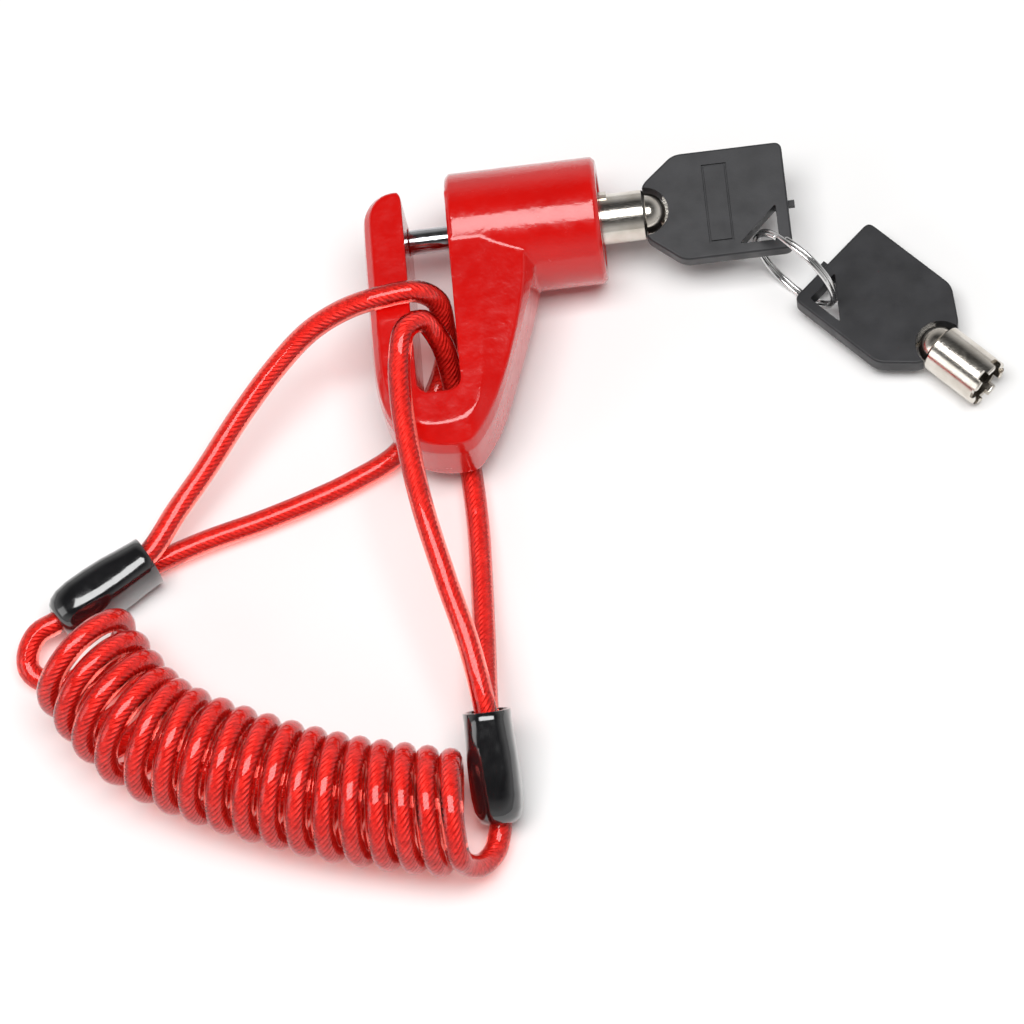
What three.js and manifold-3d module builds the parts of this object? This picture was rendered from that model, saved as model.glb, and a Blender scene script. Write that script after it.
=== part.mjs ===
// Disc-brake lock with a coiled reminder cable, two tubular keys and a split ring.
// Millimetres, +Z up, lying flat as it rests on a table, barrel axis along X.
import * as THREE from 'three';
import { ConvexGeometry } from 'three/addons/geometries/ConvexGeometry.js';
import { mergeVertices } from 'three/addons/utils/BufferGeometryUtils.js';
import Module from 'manifold-3d';

const wasm = await Module();
wasm.setup();

// ---- driving dimensions -------------------------------------------------------
const ORIGIN_X = 43.94;          // centre of the rigid pieces' bounding box
const ORIGIN_Y = -18.15;

const BARREL_R = 12.7;
const BARREL_LENGTH = 30.0;
const BARREL_CHAMFER = 0.8;
const AXIS_Z = BARREL_R;         // barrel axis above the table

const SLOT_WIDTH = 8.6;
const SLOT_BOTTOM = -37.5;
const SLOT_CORNER = 2.6;
const PLATE_BACK = 5.3;          // underside of the jaw and bar
const FRONT_AT_SLOT_BOTTOM = 21.6;
const FRONT_SLOPE = 0.07;        // the front face rises towards the barrel

const BORE_R = 9.2;
const BORE_START = 5.0;
const PIN_R = 2.5;
const PIN_HOLE_R = 2.8;
const PIN_TIP = -12.6;
const PIN_END = 12.4;
const JAW_HOLE_END = -13.2;

const CARRIER_R = 9.0;
const CARRIER_BACK = 9.4;
const CARRIER_FACE = 29.3;
const CAVITY_R = 6.35;
const CAVITY_BACK = 15.3;
const CAM_ROOM_R = 4.6;
const CAM_ROOM_BACK = 12.7;
const FACE_RING_BACK = 26.15;
const FACE_RING_R = 7.2;
const KEYWAY_R = 5.9;
const SHEAR_X = 21.1;            // between the fixed block and the turning plug
const TUMBLERS = 7;
const TUMBLER_CIRCLE_R = 4.4;
const TUMBLER_R = 0.8;
const TUMBLER_HOLE_R = 0.95;
const POST_R = 3.4;              // centre post that the key's tube slides over
const SPINDLE_R = 1.5;           // plug's spindle through the fixed block
const POST_HOLE_R = 1.75;
const PIN_DOWEL_X = 11.0;
const DOWEL_R = 0.75;
const KEY_CUTS = [0.6, 1.4, 0.9, 1.8, 0.7, 1.2, 1.6];

const LATCH_X = 14.0;
const LATCH_R = 1.3;
const STOP_PIN_X = 25.5;

const KEY_TUBE_R = 5.0;
const KEY_TUBE_INNER_R = 3.75;
const KEY_REACH = 12.2;          // shoulder to mouth
const BOW_LENGTH = 28.6;
const BOW_HALF_WIDTH = 11.2;
const BOW_THICKNESS = 4.0;
const KEY_1_SHOULDER = 38.5;
const KEY_1_ROLL = 8;            // degrees about the barrel axis
const KEY_TAB_ANGLE = 45;        // degrees from the bow's plane
const KEY_2_SHOULDER = [93.5, -33.2, 5.0];
const KEY_2_HEADING = 132.2;     // degrees, direction from tube to bow

const RING_R = 9.9;
const RING_RADIAL = 1.05;
const RING_AXIAL = 1.6;
const RING_CENTRE = [67.03, -14.87, 10.47];
const RING_HEADING = -46;

const CORD_R = 2.25;
const COIL_R = 12.35;
const SLEEVE_LENGTH = 21.5;
// Heading and pitch in degrees, from a sleeve's closed end to its mouth.
const SLEEVE_A = { mouth: [-65.2, -59.2, 6.05], heading: 29.7, pitch: 0 };
const SLEEVE_B = { mouth: [-1.1, -101.4, 13.0], heading: 90.4, pitch: 25 };
const STRAND_RISE = 2.45;        // strands lie above and below the sleeve's axis

const ROUND = 48;
const SMALL_ROUND = 10;
const GAP = 0.3;

// ---- helpers --------------------------------------------------------------------
const rad = THREE.MathUtils.degToRad;

function solid(geometry) {
  const bare = geometry.clone();
  bare.deleteAttribute('normal');
  bare.deleteAttribute('uv');
  const merged = mergeVertices(bare, 1e-4);
  return new wasm.Manifold(new wasm.Mesh({
    numProp: 3,
    vertProperties: new Float32Array(merged.attributes.position.array),
    triVerts: new Uint32Array(merged.index.array),
  }));
}

function geometryOf(shape) {
  const mesh = shape.getMesh();
  const geometry = new THREE.BufferGeometry();
  geometry.setAttribute('position', new THREE.BufferAttribute(mesh.vertProperties, 3));
  geometry.setIndex(new THREE.BufferAttribute(mesh.triVerts, 1));
  return geometry;
}

// Round bar along X from x0 to x1, centred on the barrel axis plus an offset.
function bar(r, x0, x1, segments = ROUND, y = 0, z = 0) {
  const g = new THREE.CylinderGeometry(r, r, x1 - x0, segments);
  g.rotateZ(Math.PI / 2);
  g.translate((x0 + x1) / 2, y, AXIS_Z + z);
  return solid(g);
}

// Body of revolution about the barrel axis; profile is [radius, x] pairs.
function turned(profile, segments = ROUND) {
  const points = profile.map(([r, x]) => new THREE.Vector2(r, x));
  const g = new THREE.LatheGeometry(points, segments);
  g.rotateZ(-Math.PI / 2);
  g.translate(0, 0, AXIS_Z);
  return solid(g);
}

function box(x0, x1, y0, y1, z0, z1) {
  const g = new THREE.BoxGeometry(x1 - x0, y1 - y0, z1 - z0);
  g.translate((x0 + x1) / 2, (y0 + y1) / 2, (z0 + z1) / 2);
  return solid(g);
}

// Upright round pin along Z, or along Y when lying is true.
function dowel(r, length, at, lying = false) {
  const g = new THREE.CylinderGeometry(r, r, length, 16);
  if (!lying) g.rotateX(Math.PI / 2);
  g.translate(...at);
  return solid(g);
}

function plate(points, z0, z1, holes = []) {
  const shape = new THREE.Shape(points.map(([x, y]) => new THREE.Vector2(x, y)));
  for (const hole of holes) {
    shape.holes.push(new THREE.Path(hole.map(([x, y]) => new THREE.Vector2(x, y))));
  }
  const g = new THREE.ExtrudeGeometry(shape, { depth: z1 - z0, bevelEnabled: false });
  g.translate(0, 0, z0);
  return solid(g);
}

// Polygon with each corner replaced by an arc of the given radius.
function rounded(corners, radius, steps = 3) {
  const out = [];
  corners.forEach((corner, i) => {
    const here = new THREE.Vector2(...corner);
    const before = new THREE.Vector2(...corners.at(i - 1)).sub(here).normalize();
    const after = new THREE.Vector2(...corners[(i + 1) % corners.length]).sub(here).normalize();
    const start = here.clone().addScaledVector(before, radius);
    const end = here.clone().addScaledVector(after, radius);
    const curve = new THREE.QuadraticBezierCurve(start, here, end);
    for (const p of curve.getPoints(steps)) out.push([p.x, p.y]);
  });
  return out;
}

function tube(points, r, steps, sides) {
  const path = new THREE.CatmullRomCurve3(points.map((p) => new THREE.Vector3(...p)));
  const section = new THREE.Shape();
  section.absarc(0, 0, r, 0, Math.PI * 2);
  return new THREE.ExtrudeGeometry(section, {
    steps, curveSegments: sides / 2, bevelEnabled: false, extrudePath: path,
  });
}

function spring(centre, alongX, meanR, wireR, length, turns, perTurn, sides) {
  const points = [];
  for (let i = 0; i <= turns * perTurn; i += 1) {
    const a = (i / perTurn) * Math.PI * 2;
    const run = (i / (turns * perTurn)) * (length - 2 * wireR) + wireR;
    points.push([alongX + run, centre[0] + meanR * Math.cos(a), centre[1] + meanR * Math.sin(a)]);
  }
  return tube(points, wireR, turns * perTurn, sides);
}

function circlePlace(i) {
  const a = (i / TUMBLERS) * Math.PI * 2 + rad(KEY_1_ROLL);
  return [TUMBLER_CIRCLE_R * Math.cos(a), TUMBLER_CIRCLE_R * Math.sin(a)];
}

// ---- lock body -------------------------------------------------------------------
function frontZ(y) {
  return FRONT_AT_SLOT_BOTTOM + FRONT_SLOPE * (y - SLOT_BOTTOM);
}

// Outline of the C-shaped plate at mid depth, and the edges of its bevelled front.
const OUTLINE = [
  [-17.0, -1.0], [-17.2, -28.0], [-16.8, -36.0], [-15.3, -41.2], [-12.2, -45.6],
  [-7.5, -48.3], [-0.5, -49.0], [2.2, -47.6], [6.8, -40.4], [11.8, -26.0],
  [16.6, -11.5], [16.6, -4.0], [13.5, 5.2], [-10.2, 5.2], [-14.2, 4.0], [-16.4, 1.6],
];
const SHOULDER_EDGE = [
  [-16.5, -1.2], [-16.7, -28.0], [-16.3, -35.8], [-14.8, -40.8], [-11.8, -45.0],
  [-7.3, -47.5], [-0.7, -48.2], [1.9, -46.9], [6.3, -40.1], [10.4, -30.0],
  [14.2, -15.5], [14.6, -4.0], [12.5, 4.7], [-10.2, 4.7], [-14.0, 3.5], [-16.0, 1.3],
];
const FLAT_EDGE = [
  [-15.0, -1.6], [-15.2, -28.0], [-14.8, -35.2], [-13.3, -39.6], [-10.4, -43.0],
  [-6.6, -44.4], [-1.4, -44.0], [1.6, -42.6], [3.5, -39.8], [4.2, -32.7],
  [5.7, -18.0], [6.4, -5.0], [6.0, 3.6], [-10.3, 3.6], [-13.4, 2.4], [-14.8, 0.6],
];

function plateHull() {
  const layers = [
    [OUTLINE, () => PLATE_BACK + 1.4, 1],
    [OUTLINE, () => PLATE_BACK, 0.93],
    [OUTLINE, (y) => frontZ(y) - 4.6, 1],
    [SHOULDER_EDGE, (y) => frontZ(y) - 1.9, 1],
    [FLAT_EDGE, (y) => frontZ(y), 1],
  ];
  const middle = new THREE.Vector2(-1.5, -21.0);
  const points = [];
  for (const [outline, height, scale] of layers) {
    for (const [x, y] of outline) {
      const sx = middle.x + (x - middle.x) * scale;
      const sy = middle.y + (y - middle.y) * scale;
      points.push(new THREE.Vector3(sx, sy, height(y)));
    }
  }
  return solid(new ConvexGeometry(points));
}

function slotCutter() {
  const r = SLOT_CORNER;
  const left = -SLOT_WIDTH;
  const bottom = SLOT_BOTTOM;
  const arc = (cx, cy, from) => [0, 1, 2, 3, 4].map((k) => {
    const a = from + (k * Math.PI) / 8;
    return [cx + r * Math.cos(a), cy + r * Math.sin(a)];
  });
  const outline = [
    [0, 20], [left, 20],
    ...arc(left + r, bottom + r, Math.PI),
    ...arc(-r, bottom + r, Math.PI * 1.5),
  ];
  return plate(outline, -1, 40);
}

function lockBody() {
  const c = BARREL_CHAMFER;
  const barrel = turned([
    [0, 0], [BARREL_R - c, 0], [BARREL_R, c],
    [BARREL_R, BARREL_LENGTH - c], [BARREL_R - c, BARREL_LENGTH], [0, BARREL_LENGTH],
  ]);
  let body = plateHull().subtract(slotCutter()).add(barrel);
  body = body.subtract(bar(PIN_HOLE_R, JAW_HOLE_END, BORE_START + 1, 24));
  body = body.subtract(turned([
    [0, BORE_START], [BORE_R, BORE_START], [BORE_R, BARREL_LENGTH - 0.5],
    [BORE_R + 0.6, BARREL_LENGTH + 0.1], [0, BARREL_LENGTH + 0.1],
  ]));
  const latchGroove = box(LATCH_X - 1.6, 28.7, -1.6, 1.6, AXIS_Z, AXIS_Z + 10.6);
  const stopHole = dowel(1.15, 8, [STOP_PIN_X, 10.5, AXIS_Z], true);
  return body.subtract(latchGroove).subtract(stopHole);
}

// ---- lock internals -----------------------------------------------------------------
function lockingPin() {
  const chamfer = 0.6;
  const pin = turned([
    [0, PIN_TIP], [PIN_R - chamfer, PIN_TIP], [PIN_R, PIN_TIP + chamfer],
    [PIN_R, PIN_END], [0, PIN_END],
  ], 24);
  return pin.subtract(dowel(DOWEL_R + 0.1, 8, [PIN_DOWEL_X, 0, AXIS_Z]));
}

function carrier() {
  const shell = turned([
    [0, CARRIER_BACK], [CARRIER_R - 0.5, CARRIER_BACK], [CARRIER_R, CARRIER_BACK + 0.5],
    [CARRIER_R, CARRIER_FACE - 0.4], [CARRIER_R - 0.4, CARRIER_FACE],
    [FACE_RING_R + 0.15, CARRIER_FACE], [FACE_RING_R + 0.15, FACE_RING_BACK - 0.15],
    [CAVITY_R, FACE_RING_BACK - 0.15], [CAVITY_R, CAVITY_BACK],
    [CAM_ROOM_R, CAVITY_BACK], [CAM_ROOM_R, CAM_ROOM_BACK], [0, CAM_ROOM_BACK],
  ]);
  return shell
    .subtract(bar(PIN_R + 0.1, CARRIER_BACK - 1, CAM_ROOM_BACK + 1, 24))
    .subtract(dowel(DOWEL_R + 0.1, 20, [PIN_DOWEL_X, 0, AXIS_Z]))
    .subtract(dowel(LATCH_R + 0.15, 8, [LATCH_X, 0, AXIS_Z + 7.5]))
    .subtract(box(11.2, 26.9, 8.1, 12, AXIS_Z - 1.25, AXIS_Z + 1.25));
}

function fixedBlock() {
  let block = turned([
    [POST_HOLE_R, CAVITY_BACK + 0.2], [CAVITY_R - 0.15, CAVITY_BACK + 0.2],
    [CAVITY_R - 0.15, SHEAR_X - 0.1], [POST_HOLE_R, SHEAR_X - 0.1],
    [POST_HOLE_R, CAVITY_BACK + 0.2],
  ], 36);
  for (let i = 0; i < TUMBLERS; i += 1) {
    const [y, z] = circlePlace(i);
    block = block.subtract(bar(TUMBLER_HOLE_R, 16.0, SHEAR_X + 1, SMALL_ROUND, y, z));
  }
  return block;
}

function turningPlug() {
  let plug = turned([
    [0, 13.0], [SPINDLE_R, 13.0], [SPINDLE_R, SHEAR_X + 0.1], [CAVITY_R - 0.65, SHEAR_X + 0.1],
    [CAVITY_R - 0.65, 26.0], [POST_R, 26.0], [POST_R, 28.7], [POST_R - 0.4, 29.1], [0, 29.1],
  ], 36);
  for (let i = 0; i < TUMBLERS; i += 1) {
    const [y, z] = circlePlace(i);
    plug = plug.subtract(bar(TUMBLER_HOLE_R, SHEAR_X - 1, 27, SMALL_ROUND, y, z));
  }
  return plug;
}

function faceRing() {
  const ring = turned([
    [KEYWAY_R, FACE_RING_BACK], [FACE_RING_R, FACE_RING_BACK], [FACE_RING_R, CARRIER_FACE - 0.3],
    [FACE_RING_R - 0.3, CARRIER_FACE], [KEYWAY_R + 0.3, CARRIER_FACE],
    [KEYWAY_R, CARRIER_FACE - 0.3], [KEYWAY_R, FACE_RING_BACK],
  ]);
  const notch = new THREE.BoxGeometry(3.0, 2.0, 1.8);
  notch.translate(28.5, KEYWAY_R - 0.3, 0);
  notch.rotateX(rad(KEY_TAB_ANGLE + KEY_1_ROLL));
  notch.translate(0, 0, AXIS_Z);
  return ring.subtract(solid(notch));
}

function camDisc() {
  const disc = new THREE.CylinderGeometry(2.6, 2.6, 1.7, 24);
  disc.rotateZ(Math.PI / 2);
  disc.translate(13.95, 0, AXIS_Z + 1.0);
  return solid(disc).subtract(bar(SPINDLE_R + 0.08, 12, 16, 24));
}

function latchPlunger() {
  return dowel(LATCH_R, 5.9, [LATCH_X, 0, AXIS_Z + 7.15]);
}

// ---- keys ------------------------------------------------------------------------------
function keyTube() {
  const back = -2.2;
  const tailEnd = 4.6;
  const g = new THREE.LatheGeometry([
    [0, back], [KEY_TUBE_INNER_R, back], [KEY_TUBE_INNER_R, -KEY_REACH],
    [KEY_TUBE_R - 0.35, -KEY_REACH], [KEY_TUBE_R, -KEY_REACH + 0.35], [KEY_TUBE_R, 2.4],
    [4.3, 3.7], [2.6, tailEnd], [0, tailEnd],
  ].map(([r, x]) => new THREE.Vector2(r, x)), 36);
  g.rotateZ(-Math.PI / 2);
  let key = solid(g);
  const tang = new THREE.BoxGeometry(9.0, 7.0, 1.8);
  tang.translate(7.5, 0, 0);
  key = key.add(solid(tang));
  const tab = new THREE.BoxGeometry(2.4, 1.6, 1.5);
  tab.translate(-8.2, KEY_TUBE_R - 0.1, 0);
  tab.rotateX(rad(KEY_TAB_ANGLE));
  key = key.add(solid(tab));
  KEY_CUTS.forEach((depth, i) => {
    const a = (i / TUMBLERS) * Math.PI * 2;
    const cut = new THREE.BoxGeometry(depth + 1, 3.0, 2.0);
    cut.translate(-KEY_REACH + depth - (depth + 1) / 2, TUMBLER_CIRCLE_R, 0);
    cut.rotateX(a);
    key = key.subtract(solid(cut));
  });
  return key;
}

const BOW_OUTLINE = [
  [0, 5.5], [6.9, BOW_HALF_WIDTH], [BOW_LENGTH, BOW_HALF_WIDTH],
  [BOW_LENGTH, -BOW_HALF_WIDTH], [6.9, -BOW_HALF_WIDTH], [0, -5.5],
];
const RING_HOLE = [[26.1, -9.1], [26.1, -1.7], [18.2, -9.1]];

function keyBow() {
  const half = BOW_THICKNESS / 2;
  const soft = 0.5;
  const outline = rounded(BOW_OUTLINE, 1.6);
  const shape = new THREE.Shape(outline.map(([x, y]) => new THREE.Vector2(x, y)));
  const g = new THREE.ExtrudeGeometry(shape, {
    depth: BOW_THICKNESS - 2 * soft,
    bevelThickness: soft,
    bevelSize: soft,
    bevelOffset: -soft,
    bevelSegments: 1,
  });
  g.translate(0, 0, -half + soft);
  let bow = solid(g);
  bow = bow.subtract(plate(rounded(RING_HOLE, 0.6, 2), -5, 5));
  const seat = [
    [-1, 5.2], [2.5, 5.2], [3.9, 4.4], [4.9, 2.8],
    [4.9, -2.8], [3.9, -4.4], [2.5, -5.2], [-1, -5.2],
  ];
  bow = bow.subtract(plate(seat, -5, 5));
  const pocket = new THREE.BoxGeometry(9.0, 7.4, 2.2);
  pocket.translate(7.9, 0, 0);
  bow = bow.subtract(solid(pocket));
  const frameHalf = [2.35, 8.1];
  const groove = 0.35;
  const outer = new THREE.BoxGeometry(2 * frameHalf[0], 2 * frameHalf[1], 0.5);
  const inner = new THREE.BoxGeometry(2 * (frameHalf[0] - groove), 2 * (frameHalf[1] - groove), 1.5);
  const frame = solid(outer).subtract(solid(inner));
  return bow.subtract(frame.translate([14.8, 0, half]));
}

function placeKey1(shape) {
  return shape.rotate([KEY_1_ROLL, 0, 0]).translate([KEY_1_SHOULDER, 0, AXIS_Z]);
}

function placeKey2(shape) {
  return shape.rotate([180, 0, 0]).rotate([0, 0, KEY_2_HEADING]).translate(KEY_2_SHOULDER);
}

// Split ring of flat wire: the parting line between its two turns is a groove.
function splitRing() {
  const inner = RING_R - RING_RADIAL / 2;
  const outer = RING_R + RING_RADIAL / 2;
  const half = RING_AXIAL / 2;
  const groove = 0.14;
  const profile = [
    [inner, -half], [outer, -half], [outer, -groove], [outer - groove, 0],
    [outer, groove], [outer, half], [inner, half], [inner, groove],
    [inner + groove, 0], [inner, -groove], [inner, -half],
  ];
  const g = new THREE.LatheGeometry(profile.map(([r, x]) => new THREE.Vector2(r, x)), 40);
  g.rotateZ(rad(RING_HEADING));
  g.translate(...RING_CENTRE);
  return g;
}

// ---- cable ---------------------------------------------------------------------------------
// Turns a shape that points along +X to a sleeve's direction and moves it to its mouth.
function sleevePlace({ mouth, heading, pitch }) {
  return new THREE.Matrix4().makeTranslation(...mouth)
    .multiply(new THREE.Matrix4().makeRotationZ(rad(heading)))
    .multiply(new THREE.Matrix4().makeRotationY(-rad(pitch)));
}

// Point at a distance behind a sleeve's mouth, above (+1) or below (-1) its axis.
function inSleeve(sleeve, behind, side) {
  const point = new THREE.Vector3(-behind, 0, side * STRAND_RISE);
  return point.applyMatrix4(sleevePlace(sleeve)).toArray();
}

const FERRULE_LENGTH = 10.5;
const FERRULE_FRONT = 7.0;       // behind the sleeve's mouth

const LOOP_A = [
  inSleeve(SLEEVE_A, FERRULE_FRONT - GAP, 1),
  inSleeve(SLEEVE_A, 0, 1),
  [-58.6, -50.6, 9.2], [-52.4, -43.6, 11.0], [-44.6, -34.4, 14.0], [-36.6, -26.6, 17.5],
  [-28.9, -21.2, 21.0], [-21.0, -18.9, 24.4], [-13.0, -18.1, 26.3], [-7.0, -17.5, 25.6],
  [-3.4, -17.8, 21.0], [-2.9, -20.2, 14.5], [-3.3, -22.8, 8.0], [-5.6, -27.0, 3.4],
  [-9.8, -34.0, 2.55], [-15.4, -41.2, 2.55], [-25.0, -46.2, 2.6], [-32.3, -49.0, 2.8],
  [-43.1, -52.4, 3.0], [-55.0, -55.6, 3.3],
  inSleeve(SLEEVE_A, 1, -1),
  inSleeve(SLEEVE_A, FERRULE_FRONT - GAP, -1),
];
const LOOP_B = [
  inSleeve(SLEEVE_B, FERRULE_FRONT - GAP, 1),
  inSleeve(SLEEVE_B, 0, 1),
  [-2.8, -90.6, 19.2], [-6.1, -76.8, 21.6], [-9.1, -62.8, 23.8], [-10.8, -50.4, 24.6],
  [-11.5, -41.0, 24.9], [-11.2, -32.0, 25.6], [-9.6, -25.8, 26.3], [-6.2, -23.3, 24.0],
  [-3.6, -25.4, 18.6], [-2.7, -28.2, 12.0], [-2.5, -32.0, 6.0], [-2.0, -36.8, 2.7],
  [-1.0, -46.0, 2.55], [-0.4, -59.0, 3.4], [-0.5, -72.0, 5.4], [-0.7, -84.0, 7.8],
  [-0.9, -92.6, 10.0],
  inSleeve(SLEEVE_B, 0, -0.9),
  inSleeve(SLEEVE_B, FERRULE_FRONT - GAP, -1),
];
const COIL_AXIS = [
  [-77.2, -81.7, COIL_R], [-73.9, -87.7, COIL_R], [-66.4, -97.3, COIL_R],
  [-56.5, -103.8, COIL_R], [-42.3, -110.6, COIL_R], [-29.0, -115.6, COIL_R],
  [-10.4, -120.5, COIL_R],
];
const TAIL_A = [
  [-84.6, -70.3, 6.05], [-87.9, -71.7, 5.5], [-90.2, -75.0, 4.2], [-90.3, -78.2, 3.0],
];
const TAIL_B = [
  [-6.2, -130.6, 6.0], [-4.0, -128.9, 4.0], [-2.2, -126.3, 2.9], [-1.3, -123.6, 3.1],
  inSleeve(SLEEVE_B, 21.7, 0),
];

// Vinyl boot: open oval mouth, swollen over the crimp, rounded closed end with a cable hole.
function sleeve(spot) {
  const stations = [
    [0, 4.6, 5.9], [-2, 4.6, 5.9], [-8, 4.9, 6.0], [-17, 4.8, 5.8], [-20, 4.1, 4.9],
    [-SLEEVE_LENGTH, 2.9, 3.6],
  ];
  const hull = (shrink, from, to) => {
    const points = [];
    for (const [x, ry, rz] of stations) {
      const at = x === 0 ? from : x;
      if (at < to) continue;
      for (let k = 0; k < 20; k += 1) {
        const a = (k / 20) * Math.PI * 2;
        const y = (ry - shrink) * Math.cos(a);
        const z = (rz - shrink) * Math.sin(a);
        points.push(new THREE.Vector3(at, y, z));
      }
    }
    return solid(new ConvexGeometry(points));
  };
  const cavity = hull(0.8, 1, -20.1);
  const g = new THREE.CylinderGeometry(CORD_R + GAP, CORD_R + GAP, 8, 16);
  g.rotateZ(Math.PI / 2);
  g.translate(-SLEEVE_LENGTH, 0, 0);
  const boot = geometryOf(hull(0, 0, -SLEEVE_LENGTH).subtract(cavity).subtract(solid(g)));
  return boot.applyMatrix4(sleevePlace(spot));
}

function ferrule(spot) {
  const section = new THREE.Shape();
  section.absellipse(0, 0, 4.75, 3.2, 0, Math.PI * 2);
  const g = new THREE.ExtrudeGeometry(section, {
    depth: FERRULE_LENGTH - 1.0,
    curveSegments: 10,
    bevelThickness: 0.5,
    bevelSize: 0.5,
    bevelOffset: -0.5,
    bevelSegments: 1,
  });
  g.rotateY(-Math.PI / 2);
  g.translate(-FERRULE_FRONT - 0.5, 0, 0);
  return g.applyMatrix4(sleevePlace(spot));
}

// ---- assembly --------------------------------------------------------------------------------
const lock = new THREE.Group();

function material(color, metalness, roughness) {
  return new THREE.MeshStandardMaterial({ color, metalness, roughness });
}

const RED_PAINT = material(0xd21a12, 0.0, 0.25);
const STEEL = material(0x8d9094, 1.0, 0.3);
const CHROME = material(0xd6d6d8, 1.0, 0.12);
const ZINC = material(0xa3a6aa, 1.0, 0.45);
const BRASS = material(0xb89a4e, 1.0, 0.35);
const BLACK_PLASTIC = material(0x2c2c2e, 0.0, 0.5);
const BLACK_VINYL = material(0x0d0d0e, 0.0, 0.2);
const RED_CABLE = material(0xc4140e, 0.0, 0.2);

function place(name, shape, look) {
  const geometry = shape instanceof THREE.BufferGeometry ? shape : geometryOf(shape);
  geometry.translate(-ORIGIN_X, -ORIGIN_Y, 0);
  const mesh = new THREE.Mesh(geometry, look);
  mesh.name = name;
  lock.add(mesh);
}

place('lock_body', lockBody(), RED_PAINT);
place('stop_pin', dowel(1.0, 4.2, [STOP_PIN_X, 10.4, AXIS_Z], true), STEEL);
place('ejection_spring', spring([0, AXIS_Z], 5.2, 4.4, 0.35, 4.0, 4, 12, 6), STEEL);
place('locking_pin', lockingPin(), STEEL);
place('pin_dowel', dowel(DOWEL_R, 16, [PIN_DOWEL_X, 0, AXIS_Z]), STEEL);
place('cylinder_carrier', carrier(), ZINC);
place('tumbler_block', fixedBlock(), BRASS);
place('face_ring', faceRing(), CHROME);
place('turning_plug', turningPlug(), CHROME);
place('cam_disc', camDisc(), STEEL);
place('latch_plunger', latchPlunger(), STEEL);
for (let i = 0; i < TUMBLERS; i += 1) {
  const [y, z] = circlePlace(i);
  const front = KEY_1_SHOULDER - KEY_REACH + KEY_CUTS[i] - 0.05;
  const keyPin = bar(TUMBLER_R, SHEAR_X + 0.15, front, SMALL_ROUND, y, z);
  const driver = bar(TUMBLER_R, 18.6, SHEAR_X - 0.15, SMALL_ROUND, y, z);
  place(`key_pin_${i + 1}`, keyPin, BRASS);
  place(`driver_pin_${i + 1}`, driver, STEEL);
  place(`tumbler_spring_${i + 1}`,
    spring([y, AXIS_Z + z], 16.15, 0.6, 0.14, 2.3, 4, 8, 4), STEEL);
}
place('key_1_tube', placeKey1(keyTube()), CHROME);
place('key_1_bow', placeKey1(keyBow()), BLACK_PLASTIC);
place('key_2_tube', placeKey2(keyTube()), CHROME);
place('key_2_bow', placeKey2(keyBow()), BLACK_PLASTIC);
place('split_ring', splitRing(), CHROME);
place('ferrule_a', ferrule(SLEEVE_A), ZINC);
place('ferrule_b', ferrule(SLEEVE_B), ZINC);
place('sleeve_a', sleeve(SLEEVE_A), BLACK_VINYL);
place('sleeve_b', sleeve(SLEEVE_B), BLACK_VINYL);
place('cable_loop_a', tube(LOOP_A, CORD_R, 34, 10), RED_CABLE);
place('cable_loop_b', tube(LOOP_B, CORD_R, 34, 10), RED_CABLE);
place('cable_tail_a', tube(TAIL_A, CORD_R, 6, 10), RED_CABLE);
place('cable_tail_b', tube(TAIL_B, CORD_R, 6, 10), RED_CABLE);
place('cable_coil', tube(COIL_AXIS, COIL_R, 16, 24), RED_CABLE);

export default lock;
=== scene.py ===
"""Disc-brake lock with a coiled reminder cable, two tubular keys and a split ring.

Shapes are worked out in millimetres in the lock's own frame: x = 0 on the slot's right wall,
y = 0 on the barrel's axis, z = 0 on the table. to_row() moves them to the row frame in metres.
"""

import math

import bmesh
import bpy
import numpy as np
from mathutils import Matrix, Vector


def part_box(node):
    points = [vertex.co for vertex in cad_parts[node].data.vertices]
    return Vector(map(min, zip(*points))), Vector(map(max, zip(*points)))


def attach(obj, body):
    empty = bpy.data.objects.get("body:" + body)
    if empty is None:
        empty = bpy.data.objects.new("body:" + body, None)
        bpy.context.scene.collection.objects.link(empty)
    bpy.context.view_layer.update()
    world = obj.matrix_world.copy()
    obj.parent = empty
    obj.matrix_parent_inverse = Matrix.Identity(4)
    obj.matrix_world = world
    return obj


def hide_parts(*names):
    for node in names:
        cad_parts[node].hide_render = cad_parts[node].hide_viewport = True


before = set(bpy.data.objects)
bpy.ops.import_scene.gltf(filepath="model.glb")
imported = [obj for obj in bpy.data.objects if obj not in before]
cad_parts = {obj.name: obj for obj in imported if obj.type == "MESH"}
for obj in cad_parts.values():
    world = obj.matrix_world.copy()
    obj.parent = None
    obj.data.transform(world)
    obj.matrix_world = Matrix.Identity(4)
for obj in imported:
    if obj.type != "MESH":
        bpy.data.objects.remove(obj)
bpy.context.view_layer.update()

# ---- driving sizes, in millimetres -----------------------------------------------------
MM = 0.001
BARREL_LENGTH = 30.0
BARREL_R = 12.7
AXIS_Z = BARREL_R
_, body_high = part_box("lock_body")
ORIGIN = Vector((BARREL_LENGTH - body_high.x / MM, BARREL_R - body_high.y / MM, 0.0))
TO_ROW = Matrix.Scale(MM, 4) @ Matrix.Translation(-ORIGIN)

CORD_R = 2.25
COIL_R = 10.1                    # to the cable's centre line
COIL_Z = COIL_R + CORD_R
COIL_TURNS = 16                  # from the first crest to the last
LAST_PITCH = 4.6                 # the turns lie closer together towards the far end
LEAD_PITCH = 3.6                 # before the first crest
UPRIGHT_TURN = 7                 # here the turns stand square to the coil's axis
LEAN = 9.5                       # degrees the turns at both ends lean from that
POINTS_PER_TURN = 16
ROUTE_STEP = 0.9

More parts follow.
